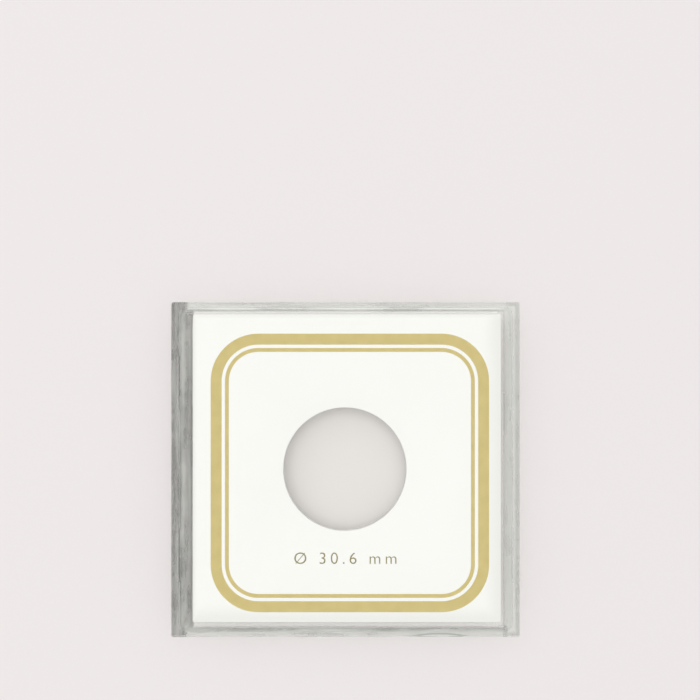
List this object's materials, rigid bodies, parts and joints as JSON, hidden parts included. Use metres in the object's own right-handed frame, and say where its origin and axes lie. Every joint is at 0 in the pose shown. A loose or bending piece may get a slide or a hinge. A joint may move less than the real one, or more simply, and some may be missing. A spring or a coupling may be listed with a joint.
{
  "type": "coin holder",
  "caption": "Clear square snap-together case that shows a round coin in the hole of a white plate; the front cover and the plate lift out.",
  "frame": {"origin": "centre of the back face, on the surface that the holder lies on", "axes": "+Z out of the front window, +Y to the top edge of the holder, +X to the right seen from the front"},
  "size_m": [0.0888, 0.0854, 0.0089],
  "materials": {
    "clear_back": "clear, polished, with fine scuffs on the rim",
    "clear_front": "clear, polished, with fine scuffs on the rim",
    "white_plate": "satin white with a stamped gold border"
  },
  "bodies": {
    "tray": {"back_cover": "clear_back"},
    "cover": {"front_cover": "clear_front"},
    "insert": {"coin_insert": "white_plate"}
  },
  "joints": [
    {"name": "cover_lift", "type": "slide", "parent": "tray", "child": "cover", "axis": [0, 0, 1], "range_m": [0, 0.05]},
    {"name": "insert_lift", "type": "slide", "parent": "tray", "child": "insert", "axis": [0, 0, 1], "range_m": [0, 0.025]}
  ],
  "couplings": [
    {"joint": "insert_lift", "follows": "cover_lift", "ratio": 0.5}
  ]
}
